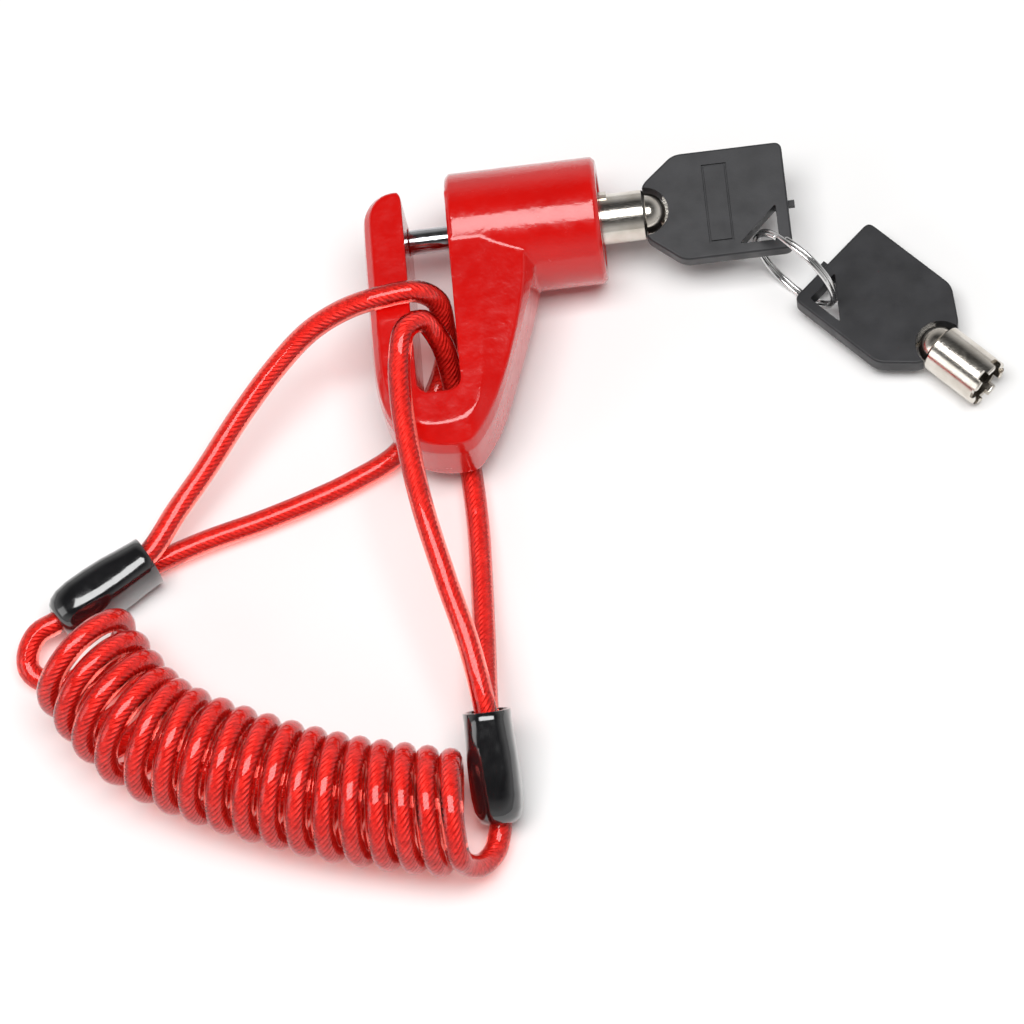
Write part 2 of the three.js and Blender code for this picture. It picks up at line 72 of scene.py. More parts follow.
# Mouth, and heading and pitch in degrees from the closed end to the mouth.
SLEEVE_A = ((-65.2, -59.2, 6.05), 29.7, 0.0)
SLEEVE_B = ((-1.1, -101.4, 13.0), 90.4, 25.0)
SLEEVE_LENGTH = 21.5
STRAND_RISE = 2.45
FERRULE_FRONT = 6.7


def sleeve_place(sleeve):
    """Turns what points along +X to a sleeve's direction and moves it to its mouth."""
    mouth, heading, pitch = sleeve
    return (Matrix.Translation(mouth) @ Matrix.Rotation(math.radians(heading), 4, "Z")
            @ Matrix.Rotation(-math.radians(pitch), 4, "Y"))


def in_sleeve(sleeve, behind, side):
    """Point at a distance behind a sleeve's mouth, above (+1) or below (-1) its axis."""
    return tuple(sleeve_place(sleeve) @ Vector((-behind, 0, side * STRAND_RISE)))


def smooth(points, step):
    """Points about one step apart on the centripetal Catmull-Rom curve through the given ones."""
    pts = [np.array(p, float) for p in points]
    pts = [2 * pts[0] - pts[1], *pts, 2 * pts[-1] - pts[-2]]
    out = []
    for p0, p1, p2, p3 in zip(pts, pts[1:], pts[2:], pts[3:]):
        t1 = np.linalg.norm(p1 - p0) ** 0.5
        t2 = t1 + np.linalg.norm(p2 - p1) ** 0.5
        t3 = t2 + np.linalg.norm(p3 - p2) ** 0.5
        count = max(1, round(np.linalg.norm(p2 - p1) / step))
        for t in np.linspace(t1, t2, count, endpoint=False):
            a1 = (t1 - t) / t1 * p0 + t / t1 * p1
            a2 = (t2 - t) / (t2 - t1) * p1 + (t - t1) / (t2 - t1) * p2
            a3 = (t3 - t) / (t3 - t2) * p2 + (t - t2) / (t3 - t2) * p3
            b1 = (t2 - t) / t2 * a1 + t / t2 * a2
            b2 = (t3 - t) / (t3 - t1) * a2 + (t - t1) / (t3 - t1) * a3
            out.append((t2 - t) / (t2 - t1) * b1 + (t - t1) / (t2 - t1) * b2)
    out.append(pts[-2])
    return np.array(out)


def to_row(points):
    return [TO_ROW @ Vector(p) for p in points]


# ---- cable route -----------------------------------------------------------------------
LOOP_A = [
    in_sleeve(SLEEVE_A, FERRULE_FRONT, 1), in_sleeve(SLEEVE_A, 0, 1),
    (-58.6, -50.6, 9.2), (-52.4, -43.6, 11.0), (-44.6, -34.4, 14.0), (-36.6, -26.6, 17.5),
    (-28.9, -21.2, 21.0), (-21.0, -18.9, 24.4), (-13.0, -18.1, 26.3), (-7.0, -17.5, 25.6),
    (-3.4, -17.8, 21.0), (-2.9, -20.2, 14.5), (-3.3, -22.8, 8.0), (-5.6, -27.0, 3.4),
    (-9.8, -34.0, 2.55), (-15.4, -41.2, 2.55), (-25.0, -46.2, 2.6), (-32.3, -49.0, 2.8),
    (-43.1, -52.4, 3.0), (-55.0, -55.6, 3.3),
    in_sleeve(SLEEVE_A, 1, -1), in_sleeve(SLEEVE_A, FERRULE_FRONT, -1),
]
LOOP_B = [
    in_sleeve(SLEEVE_B, FERRULE_FRONT, 1), in_sleeve(SLEEVE_B, 0, 1),
    (-2.8, -90.6, 19.2), (-6.1, -76.8, 21.6), (-9.1, -62.8, 23.8), (-10.8, -50.4, 24.6),
    (-11.5, -41.0, 24.9), (-11.2, -32.0, 25.6), (-9.6, -25.8, 26.3), (-6.2, -23.3, 24.0),
    (-3.6, -25.4, 18.6), (-2.7, -28.2, 12.0), (-2.5, -32.0, 6.0), (-2.0, -36.8, 2.7),
    (-1.0, -46.0, 2.55), (-0.4, -59.0, 3.4), (-0.5, -72.0, 5.4), (-0.7, -84.0, 7.8),
    (-0.9, -92.6, 10.0),
    in_sleeve(SLEEVE_B, 0, -0.9), in_sleeve(SLEEVE_B, FERRULE_FRONT, -1),
]
COIL_AXIS = [
    (-77.2, -81.7, COIL_Z), (-73.9, -87.7, COIL_Z), (-66.4, -97.3, COIL_Z),
    (-56.5, -103.8, COIL_Z), (-42.3, -110.6, COIL_Z), (-29.0, -115.6, COIL_Z),
    (-8.4, -121.0, COIL_Z),
]
TAIL_A = [
    in_sleeve(SLEEVE_A, 12, -1), in_sleeve(SLEEVE_A, 18, -0.3),
    (-84.6, -70.3, 6.05), (-87.9, -71.7, 5.5), (-90.2, -75.0, 4.2), (-90.3, -78.2, 3.0),
    (-88.3, -80.2, 2.4), (-85.2, -81.0, 2.25), (-81.6, -81.1, 2.25),
]
TAIL_B = [
    (-7.7, -130.6, 12.0), (-6.5, -130.3, 8.6),
    (-5.1, -129.4, 6.0), (-3.6, -127.7, 4.1), (-2.2, -125.4, 3.1), (-1.5, -123.2, 3.2),
    in_sleeve(SLEEVE_B, 21.7, 0), in_sleeve(SLEEVE_B, 18, -0.3), in_sleeve(SLEEVE_B, 12, -1),
]


def coil_points():
    """Right-handed turns about the coil's axis, from under the first crest to beside the last."""
    axis = smooth(COIL_AXIS, 0.5)
    run = np.concatenate([[0], np.cumsum(np.linalg.norm(np.diff(axis, axis=0), axis=1))])
    mean_pitch = run[-1] / COIL_TURNS
    tighter = (mean_pitch - LAST_PITCH) / COIL_TURNS
    points = []
    first, last = -POINTS_PER_TURN // 2, COIL_TURNS * POINTS_PER_TURN + 3
    for i in range(first, last + 1):
        turn = i / POINTS_PER_TURN
        along = LEAD_PITCH * turn
        if turn > 0:
            along = (mean_pitch + tighter * COIL_TURNS) * turn - tighter * turn**2
        k = int(np.clip(np.searchsorted(run, along), 1, len(run) - 1))
        ahead = (axis[k] - axis[k - 1]) / (run[k] - run[k - 1])
        centre = axis[k - 1] + ahead * (along - run[k - 1])
        reach = UPRIGHT_TURN if turn < UPRIGHT_TURN else COIL_TURNS - UPRIGHT_TURN
        lean = math.radians(LEAN) * ((turn - UPRIGHT_TURN) / reach) ** 2
        along_left = math.atan2(ahead[0], -ahead[1]) + lean
        left = np.array([math.cos(along_left), math.sin(along_left), 0.0])
        phase = 2 * math.pi * turn + math.pi / 2
        points.append(centre + COIL_R * (math.cos(phase) * left
                                         + math.sin(phase) * np.array([0, 0, 1.0])))
    return points


def cable_route():
    return [*LOOP_A, *TAIL_A, *coil_points(), *TAIL_B, *reversed(LOOP_B)]


def build_cable(route):
    data = bpy.data.curves.new("cable_jacket", "CURVE")
    data.dimensions = "3D"
    data.bevel_depth = CORD_R * MM
    data.bevel_resolution = 5
    data.use_fill_caps = True
    spline = data.splines.new("POLY")
    spline.points.add(len(route) - 1)
    for point, place in zip(spline.points, to_row(route)):
        point.co = (*place, 1.0)
    spline.use_smooth = True
    cable = bpy.data.objects.new("cable_jacket", data)
    bpy.context.collection.objects.link(cable)
    return cable


route = smooth(cable_route(), ROUTE_STEP)
cable = build_cable(route)

# ---- camera ----------------------------------------------------------------------------
CAMERA_AZIMUTH, CAMERA_ELEVATION, CAMERA_ROLL = 8.58, 65.74, -14.51
CAMERA_DISTANCE = 800.0
CAMERA_TARGET = Vector((6.87, -59.70, 10.0))
LENS = 145.04


def build_camera():
    a, e, r = (math.radians(v) for v in (CAMERA_AZIMUTH, CAMERA_ELEVATION, CAMERA_ROLL))
    back = Vector((math.sin(a) * math.cos(e), -math.cos(a) * math.cos(e), math.sin(e)))
    level_right = Vector((math.cos(a), math.sin(a), 0))
    level_up = back.cross(level_right)
    right = math.cos(r) * level_right + math.sin(r) * level_up
    up = math.cos(r) * level_up - math.sin(r) * level_right
    data = bpy.data.cameras.new("camera")
    data.lens = LENS
    data.sensor_width = 36.0
    data.clip_start, data.clip_end = 0.05, 20.0
    camera = bpy.data.objects.new("camera", data)
    bpy.context.collection.objects.link(camera)
    place = TO_ROW @ (CAMERA_TARGET + back * CAMERA_DISTANCE)
    turn = Matrix((right, up, back)).transposed().to_4x4()
    camera.matrix_world = Matrix.Translation(place) @ turn
    bpy.context.scene.camera = camera


build_camera()


# ---- shaders ---------------------------------------------------------------------------
class Shader:
    """A Principled material with small helpers for procedural patterns in object space."""

    def __init__(self, name, **values):
        self.material = bpy.data.materials.new(name)
        self.material.use_nodes = True
        self.nodes = self.material.node_tree.nodes
        self.links = self.material.node_tree.links
        self.bsdf = self.nodes["Principled BSDF"]
        self.space = self.nodes.new("ShaderNodeTexCoord").outputs["Object"]
        for socket, value in values.items():
            self.bsdf.inputs[socket.replace("_", " ")].default_value = value

    def noise(self, size, detail=3.0, stretch=None):
        """Noise whose blotches are about that many millimetres across."""
        space = self.space
        if stretch is not None:
            scale = self.nodes.new("ShaderNodeMapping")
            scale.inputs["Scale"].default_value = stretch
            self.links.new(space, scale.inputs["Vector"])
            space = scale.outputs["Vector"]
        node = self.nodes.new("ShaderNodeTexNoise")
        node.inputs["Scale"].default_value = 1 / (size * MM)
        node.inputs["Detail"].default_value = detail
        self.links.new(space, node.inputs["Vector"])
        return node.outputs["Fac"]

    def ramp(self, value, *stops):
        """stops are (position, grey or colour) pairs."""
        node = self.nodes.new("ShaderNodeValToRGB")
        elements = node.color_ramp.elements
        while len(elements) < len(stops):
            elements.new(0.5)
        for element, (position, shade) in zip(elements, stops):
            element.position = position
            element.color = (*shade, 1) if hasattr(shade, "__len__") else (shade, shade, shade, 1)
        self.links.new(value, node.inputs["Fac"])
        return node.outputs["Color"]

    def drive(self, socket, value):
        self.links.new(value, self.bsdf.inputs[socket])

    def mottle(self, noise, dark, light, low=0.3, high=0.7):
        """Base colour that wanders between two colours with the noise."""
        self.drive("Base Color", self.ramp(noise, (low, dark), (high, light)))

    def pass_lamp_light(self, tint):
        """Lets light from the lamps through, tinted, as a clear plastic does."""
        through = self.nodes.new("ShaderNodeBsdfTransparent")
        through.inputs["Color"].default_value = tint
        mix = self.nodes.new("ShaderNodeMixShader")
        path = self.nodes.new("ShaderNodeLightPath")
        self.links.new(path.outputs["Is Shadow Ray"], mix.inputs["Fac"])
        self.links.new(self.bsdf.outputs["BSDF"], mix.inputs[1])
        self.links.new(through.outputs["BSDF"], mix.inputs[2])
        self.links.new(mix.outputs["Shader"], self.nodes["Material Output"].inputs["Surface"])

    def bump(self, *layers):
        """layers are (height output, height in millimetres) pairs, added one on another."""
        normal = None
        for height, depth in layers:
            node = self.nodes.new("ShaderNodeBump")
            node.inputs["Strength"].default_value = 1.0
            node.inputs["Distance"].default_value = depth * MM
            self.links.new(height, node.inputs["Height"])
            if normal is not None:
                self.links.new(normal, node.inputs["Normal"])
            normal = node.outputs["Normal"]
        self.drive("Normal", normal)
        if "Coat Normal" in self.bsdf.inputs:
            self.drive("Coat Normal", normal)


def red_paint():
    s = Shader("red_paint", Coat_Weight=0.6, Coat_Roughness=0.08, Specular_IOR_Level=0.4)
    s.mottle(s.noise(14), (0.57, 0.003, 0.002), (0.65, 0.005, 0.003))
    s.drive("Roughness", s.ramp(s.noise(2.5, 4), (0.35, 0.16), (0.75, 0.3)))
    s.bump((s.noise(1.5, 2), 0.05), (s.noise(0.7, 2), 0.018))
    return s.material


def metal(name, dark, light, rough, grain, stretch=None, bump=0.004):
    s = Shader(name, Metallic=1.0)
    s.mottle(s.noise(grain * 4), dark, light)
    low, high = rough
    s.drive("Roughness", s.ramp(s.noise(grain, 5, stretch), (0.35, low), (0.7, high)))
    s.bump((s.noise(grain, 4, stretch), bump))
    return s.material


def key_plastic():
    s = Shader("key_plastic", Specular_IOR_Level=0.35)
    s.mottle(s.noise(6, 5), (0.024, 0.024, 0.026), (0.034, 0.034, 0.037), 0.35)
    s.drive("Roughness", s.ramp(s.noise(3.5, 6), (0.35, 0.4), (0.7, 0.55)))
    s.bump((s.noise(0.35, 3), 0.012), (s.noise(5, 2), 0.03))
    return s.material


def vinyl():
    s = Shader("vinyl", Specular_IOR_Level=0.8, Coat_Weight=1.0, Coat_Roughness=0.04)
    s.mottle(s.noise(7), (0.004, 0.004, 0.005), (0.009, 0.009, 0.010), high=0.75)
    s.drive("Roughness", s.ramp(s.noise(2.0, 4), (0.35, 0.1), (0.75, 0.22)))
    s.bump((s.noise(4.5, 2), 0.1), (s.noise(0.8, 2), 0.004))
    return s.material


def clear_red():
    s = Shader("clear_red", Transmission_Weight=1.0, IOR=1.45)
    s.mottle(s.noise(9), (0.95, 0.14, 0.11), (0.98, 0.19, 0.155))
    s.drive("Roughness", s.ramp(s.noise(3, 4), (0.35, 0.01), (0.75, 0.05)))
    s.bump((s.noise(3.0, 2), 0.02))
    s.pass_lamp_light((0.93, 0.6, 0.57, 1))
    return s.material


def rope_wire():
    s = Shader("rope_wire", Metallic=0.3)
    s.mottle(s.noise(1.2, 4), (0.58, 0.06, 0.05), (0.84, 0.13, 0.11))
    s.drive("Roughness", s.ramp(s.noise(0.8, 3), (0.35, 0.25), (0.75, 0.45)))
    s.bump((s.noise(0.5, 2), 0.01))
    return s.material


def table_top():
    s = Shader("table_top", Roughness=0.6, Specular_IOR_Level=0.2)
    s.mottle(s.noise(60, 2), (0.93, 0.925, 0.92), (0.95, 0.945, 0.94))
    return s.material


# Dark and light colour, lowest and highest roughness, grain size in millimetres.
METALS = {
    "pin": ((0.42, 0.42, 0.44), (0.56, 0.56, 0.58), (0.08, 0.2), 1.2),
    "steel": ((0.45, 0.45, 0.47), (0.6, 0.6, 0.62), (0.22, 0.4), 0.8),
    "zinc": ((0.55, 0.55, 0.57), (0.7, 0.7, 0.72), (0.25, 0.42), 1.6),
    "chrome": ((0.74, 0.74, 0.76), (0.86, 0.86, 0.87), (0.05, 0.16), 1.5),
    "nickel": ((0.60, 0.55, 0.48), (0.78, 0.74, 0.68), (0.12, 0.26), 1.0),
    "brass": ((0.6, 0.42, 0.17), (0.74, 0.56, 0.27), (0.25, 0.42), 0.8),
    "ring": ((0.6, 0.6, 0.6), (0.8, 0.79, 0.78), (0.1, 0.24), 1.0),
    "aluminium": ((0.7, 0.7, 0.71), (0.82, 0.82, 0.83), (0.3, 0.5), 0.7),
}
METAL_NAMES = {
    "pin": "pin_steel", "steel": "drawn_steel", "zinc": "plated_zinc", "chrome": "chrome",
    "nickel": "key_nickel", "brass": "turned_brass", "ring": "ring_steel",
    "aluminium": "crimped_aluminium",
}
DRAWN_ALONG = {"nickel": (1, 6, 6)}      # finer grain across the tube than along it
LOOKS = {look: metal(METAL_NAMES[look], *METALS[look], DRAWN_ALONG.get(look)) for look in METALS}
LOOKS.update({
    "red": red_paint(),
    "plastic": key_plastic(),
    "vinyl": vinyl(),
    "jacket": clear_red(),
    "rope": rope_wire(),
    "table": table_top(),
})


# ---- mesh helpers ----------------------------------------------------------------------
def mesh_object(name, verts, faces):
    data = bpy.data.meshes.new(name)
    data.from_pydata([tuple(v) for v in verts], [], faces)
    bm = bmesh.new()
    bm.from_mesh(data)
    bmesh.ops.recalc_face_normals(bm, faces=bm.faces)
    bm.to_mesh(data)
    bm.free()
    obj = bpy.data.objects.new(name, data)
    bpy.context.collection.objects.link(obj)
    return obj


def skin(name, rings, loop=False):
    """Quads between rings of equal counts; a one-point ring is a pole, other ends are capped."""
    verts, index = [], []
    for ring in rings:
        index.append(list(range(len(verts), len(verts) + len(ring))))
        verts.extend(ring)
    faces = []
    for a, b in zip(index, index[1:] + index[:1] if loop else index[1:]):
        count = max(len(a), len(b))
        for k in range(count):
            j = (k + 1) % count
            corners = [a[k % len(a)], a[j % len(a)], b[j % len(b)], b[k % len(b)]]
            faces.append(tuple(dict.fromkeys(corners)))
    if not loop:
        faces.extend(tuple(ring) for ring in (index[0], index[-1]) if len(ring) > 2)
    return mesh_object(name, verts, faces)


def lathe(name, profile, sides=96, loop=False):
    """Body of revolution about X; profile is (radius, x) pairs, closed on itself for a loop."""
    rings = []
    for r, x in profile:
        turns = [2 * math.pi * k / sides for k in range(sides)] if r > 0 else [0.0]
        rings.append([(x, r * math.cos(a), r * math.sin(a)) for a in turns])
    return skin(name, rings, loop)


def prism(name, outline, z0, z1):
    return skin(name, [[(x, y, z) for x, y in outline] for z in (z0, z1)])


def block(name, size, centre):
    x, y, z = (s / 2 for s in size)
    obj = prism(name, [(-x, -y), (x, -y), (x, y), (-x, y)], -z, z)
    obj.data.transform(Matrix.Translation(centre))
    return obj


def filleted(corners, radius, steps=6):
    out = []
    for before, here, after in zip(corners[-1:] + corners[:-1], corners, corners[1:] + corners[:1]):
        b, h, a = Vector(before), Vector(here), Vector(after)
        start = h + (b - h).normalized() * radius
        end = h + (a - h).normalized() * radius
        for k in range(steps + 1):
            t = k / steps
            out.append(tuple(start * (1 - t) ** 2 + h * 2 * t * (1 - t) + end * t**2))
    return out


def freeze(obj):
    """Applies the object's modifiers to its mesh."""
    shaped = bpy.data.meshes.new_from_object(
        obj.evaluated_get(bpy.context.evaluated_depsgraph_get()))
    obj.modifiers.clear()
    obj.data = shaped
    return obj


def combine(obj, tool, operation="DIFFERENCE"):
    modifier = obj.modifiers.new("combine", "BOOLEAN")
    modifier.operation = operation
    modifier.solver = "EXACT"
    modifier.object = tool
    freeze(obj)
    bpy.data.objects.remove(tool)
    return obj


def soften(obj, voxel, rounds):
    """Rounds every edge as paint and casting do."""
    remesh = obj.modifiers.new("remesh", "REMESH")
    remesh.mode = "VOXEL"
    remesh.voxel_size = voxel
    relax = obj.modifiers.new("relax", "SMOOTH")
    relax.factor = 0.5
    relax.iterations = rounds
    return freeze(obj)


def shade_smooth(obj):
    obj.data.polygons.foreach_set("use_smooth", [True] * len(obj.data.polygons))


def bevelled(obj, width, segments=3, angle=30):
    bevel = obj.modifiers.new("bevel", "BEVEL")
    bevel.width = width
    bevel.segments = segments
    bevel.limit_method = "ANGLE"
    bevel.angle_limit = math.radians(angle)
    normals = obj.modifiers.new("normals", "WEIGHTED_NORMAL")
    normals.keep_sharp = False
    shade_smooth(obj)
    return obj


def finish_piece(obj, look, body, *nodes, move=TO_ROW):
    """Moves a finished piece to the row frame and ties it to its CAD body and nodes."""
    if move is not None:
        obj.data.transform(move)
    shade_smooth(obj)
    obj.data.materials.clear()
    obj.data.materials.append(LOOKS[look])
    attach(obj, body)
    if nodes:
        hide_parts(*nodes)
    return obj


ON_AXIS = TO_ROW @ Matrix.Translation((0, 0, AXIS_Z))

# ---- lock body -------------------------------------------------------------------------
SLOT_WIDTH = 8.6
SLOT_BOTTOM = -37.5
SLOT_CORNER = 2.6
JAW_CORNER = 3.0
JAW_TOP = 6.6
THROUGH = (-1, 40)               # z range of a cut right through the body
CASTING_GRAIN = 0.28             # voxel size and smoothing rounds that leave soft edges
CASTING_ROUNDS = 7
FRONT_AT_SLOT = 21.6             # the front face's height at the slot's bottom
FRONT_SLOPE = 0.07
FLANK_DROP = 4.6                 # from the front face down to where the flanks begin
SHOULDER_DROP = 1.9
PLATE_MIDDLE = (-1.5, -21.0)
BARREL_EDGE = 0.8
BORE_FLOOR, BORE_R = 5.0, 9.25
MOUTH_R, MOUTH_DEPTH = 9.9, 0.6  # flare at the bore's mouth
PIN_R = 2.5
PIN_HOLE_R, PIN_HOLE_END = 2.85, -13.2
GROOVE_SIZE, GROOVE_CENTRE = (16.3, 3.2, 10.6), (20.55, 0, 5.3)   # for the stop pin
PLATE_BACK = 5.3
OUTLINE = [
    (-17.0, -1.0), (-17.2, -28.0), (-16.8, -36.0), (-15.3, -41.2), (-12.2, -45.6),
    (-7.5, -48.3), (-0.5, -49.0), (2.2, -47.6), (6.8, -40.4), (11.8, -26.0),
    (16.6, -11.5), (16.6, -4.0), (13.5, 5.2), (-9.8, 7.2), (-14.2, 5.9), (-16.6, 2.8),
]
SHOULDER_EDGE = [
    (-16.5, -1.2), (-16.7, -28.0), (-16.3, -35.8), (-14.8, -40.8), (-11.8, -45.0),
    (-7.3, -47.5), (-0.7, -48.2), (1.9, -46.9), (6.3, -40.1), (10.4, -30.0),
    (14.2, -15.5), (14.6, -4.0), (12.5, 4.7), (-9.6, 6.7), (-13.8, 5.5), (-16.2, 2.4),
]
FLAT_EDGE = [
    (-15.0, -1.6), (-15.2, -28.0), (-14.8, -35.2), (-13.3, -39.6), (-10.4, -43.0),
    (-6.6, -44.4), (-1.4, -44.0), (1.6, -42.6), (3.5, -39.8), (4.2, -32.7),
    (5.7, -18.0), (6.4, -5.0), (6.0, 3.6), (-9.5, 5.6), (-13.0, 4.6), (-14.9, 1.8),
]


def front_z(y):
    return FRONT_AT_SLOT + FRONT_SLOPE * (y - SLOT_BOTTOM)


def soft_loop(points, steps=5):
    """Closed curve that rounds a polygon's corners."""
    out = []
    for before, here, after in zip(points[-1:] + points[:-1], points, points[1:] + points[:1]):
        b, h, a = Vector(before), Vector(here), Vector(after)
        start, end = (b + h) / 2, (h + a) / 2
        for k in range(steps):
            t = k / steps
            out.append(tuple(start * (1 - t) ** 2 + h * 2 * t * (1 - t) + end * t**2))
    return out


def plate_hull():
    """The plate from its narrowed back face up to the flat of its front face."""
    middle = Vector(PLATE_MIDDLE)
    layers = [
        (OUTLINE, 0.93, lambda y: PLATE_BACK),
        (OUTLINE, 0.985, lambda y: PLATE_BACK + 0.5),
        (OUTLINE, 1.0, lambda y: PLATE_BACK + 1.6),
        (OUTLINE, 1.0, lambda y: front_z(y) - FLANK_DROP),
        (SHOULDER_EDGE, 1.0, lambda y: front_z(y) - SHOULDER_DROP),
        (FLAT_EDGE, 1.0, front_z),
    ]
    rings = []
    for outline, scale, height in layers:
        ring = []
        for x, y in soft_loop(outline):
            spot = middle + (Vector((x, y)) - middle) * scale
            ring.append((spot.x, spot.y, height(y)))
        rings.append(ring)
    return skin("lock_body_paint", rings)


def slot_cutter():
    r = SLOT_CORNER
    arcs = [(-SLOT_WIDTH + r, math.pi), (-r, 1.5 * math.pi)]
    outline = [(0, 20), (-SLOT_WIDTH, 20)]
    for x, start in arcs:
        for k in range(9):
            a = start + k * math.pi / 16
            outline.append((x + r * math.cos(a), SLOT_BOTTOM + r + r * math.sin(a)))
    return prism("slot", outline, *THROUGH)


def jaw_corner_cutter():
    """Takes the corner off the jaw's upper end beside the slot."""
    r, edge, top = JAW_CORNER, -SLOT_WIDTH, JAW_TOP
    arc = [(edge - r + r * math.cos(a), top - r + r * math.sin(a))
           for a in (k * math.pi / 16 for k in range(9))]
    outline = [(edge + 1, top - r), *arc, (edge - r, top + 2), (edge + 1, top + 2)]
    return prism("jaw_corner", outline, *THROUGH)


def build_body():
    body = combine(combine(plate_hull(), slot_cutter()), jaw_corner_cutter())
    end, past_end = BARREL_LENGTH, BARREL_LENGTH + 2
    past_floor = BORE_FLOOR + 1
    barrel = lathe("barrel", [
        (0, 0), (BARREL_R - BARREL_EDGE, 0), (BARREL_R, BARREL_EDGE),
        (BARREL_R, end - BARREL_EDGE), (BARREL_R - BARREL_EDGE, end), (0, end),
    ], 128)
    bore = lathe("bore", [
        (0, BORE_FLOOR), (BORE_R, BORE_FLOOR), (BORE_R, end - MOUTH_DEPTH),
        (MOUTH_R, end + 0.1), (MOUTH_R, past_end), (0, past_end),
    ], 96)
    pin_hole = lathe("pin_hole", [
        (0, PIN_HOLE_END), (PIN_HOLE_R, PIN_HOLE_END), (PIN_HOLE_R, past_floor), (0, past_floor),
    ], 48)
    groove = block("groove", GROOVE_SIZE, GROOVE_CENTRE)
    for piece, operation in ((barrel, "UNION"), (bore, "DIFFERENCE"),
                             (pin_hole, "DIFFERENCE"), (groove, "DIFFERENCE")):
        piece.data.transform(Matrix.Translation((0, 0, AXIS_Z)))
        combine(body, piece, operation)
    soften(body, CASTING_GRAIN, CASTING_ROUNDS)
    return finish_piece(body, "red", "lock", "lock_body")


# ---- pin and cylinder ------------------------------------------------------------------
def build_pin():
    pin = lathe("locking_pin_steel", [
        (0, -12.6), (1.6, -12.6), (1.95, -12.5), (PIN_R - 0.1, -12.1), (PIN_R, -11.8),
        (PIN_R, 12.3), (PIN_R - 0.1, 12.4), (0, 12.4),
    ], 64)
    return finish_piece(pin, "pin", "cylinder", "locking_pin", move=ON_AXIS)


TUMBLERS = range(1, 8)
CAD_LOOKS = {
    "zinc": ["cylinder_carrier"],
    "chrome": ["face_ring", "turning_plug"],
    "steel": ["stop_pin", "ejection_spring", "pin_dowel", "cam_disc", "latch_plunger",
              *[f"driver_pin_{i}" for i in TUMBLERS], *[f"tumbler_spring_{i}" for i in TUMBLERS]],
    "brass": ["tumbler_block", *[f"key_pin_{i}" for i in TUMBLERS]],
    "aluminium": ["ferrule_a", "ferrule_b"],
}
EDGE_WIDTH = {"zinc": 0.15, "chrome": 0.12, "steel": 0.03, "brass": 0.06, "aluminium": 0.2}


def dress_cad_nodes():
    """Small edge radii and finishes on the CAD pieces that are shown as they are."""
    for look, names in CAD_LOOKS.items():
        for name in names:
            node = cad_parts[name]
            weld = node.modifiers.new("weld", "WELD")
            weld.merge_threshold = 1e-6
            bevelled(node, EDGE_WIDTH[look] * MM, segments=2, angle=35)
            node.data.materials.clear()
            node.data.materials.append(LOOKS[look])


# ---- keys ------------------------------------------------------------------------------
TUMBLER_CIRCLE_R = 4.4
KEY_CUTS = [0.6, 1.4, 0.9, 1.8, 0.7, 1.2, 1.6]
KEY_TUBE_R, KEY_BORE_R = 5.0, 3.75
KEY_REACH = 12.2                 # from the shoulder to the tube's tip
BOW_LENGTH = 28.6
BOW_HALF_WIDTH = 11.2
BOW_HALF_THICK = 2.0
KEY_1_SHOULDER, KEY_1_ROLL = (38.5, 0, AXIS_Z), 8
KEY_2_SHOULDER, KEY_2_HEADING = (93.5, -33.2, 5.0), 132.2
KEY_1_PLACE = (Matrix.Translation(KEY_1_SHOULDER)
               @ Matrix.Rotation(math.radians(KEY_1_ROLL), 4, "X"))
KEY_2_PLACE = (Matrix.Translation(KEY_2_SHOULDER)
               @ Matrix.Rotation(math.radians(KEY_2_HEADING), 4, "Z")
               @ Matrix.Rotation(math.pi, 4, "X"))
TAB_TURN = Matrix.Rotation(math.radians(45), 4, "X")


def key_tube(name):
    """Tube with its tang, guide tab and the cuts round its tip; the shoulder is at x = 0."""
    tip, bore = -KEY_REACH, KEY_BORE_R
    dome = [(4.15 * math.cos(a), 0.5 + 4.0 * math.sin(a))
            for a in (k * math.pi / 16 for k in range(9))]
    tube = lathe(name, [
        (0, -2.2), (bore, -2.2), (bore, tip + 0.25), (bore + 0.2, tip), (KEY_TUBE_R - 0.3, tip),
        (KEY_TUBE_R, tip + 0.3), (KEY_TUBE_R, -0.1), (KEY_TUBE_R - 0.3, 0.15),
        *dome[:-1], (0, 4.5),
    ], 96)
    combine(tube, block("tang", (8.0, 7.0, 1.8), (8.0, 0, 0)), "UNION")
    tab = block("tab", (2.4, 1.6, 1.5), (-8.2, KEY_TUBE_R - 0.1, 0))
    tab.data.transform(TAB_TURN)
    combine(tube, tab, "UNION")
    for i, depth in enumerate(KEY_CUTS):
        middle = (tip + depth - (depth + 1) / 2, TUMBLER_CIRCLE_R, 0)
        cut = block("cut", (depth + 1, 3.0, 2.0), middle)
        cut.data.transform(Matrix.Rotation(2 * math.pi * i / len(KEY_CUTS), 4, "X"))
        combine(tube, cut)
    return tube


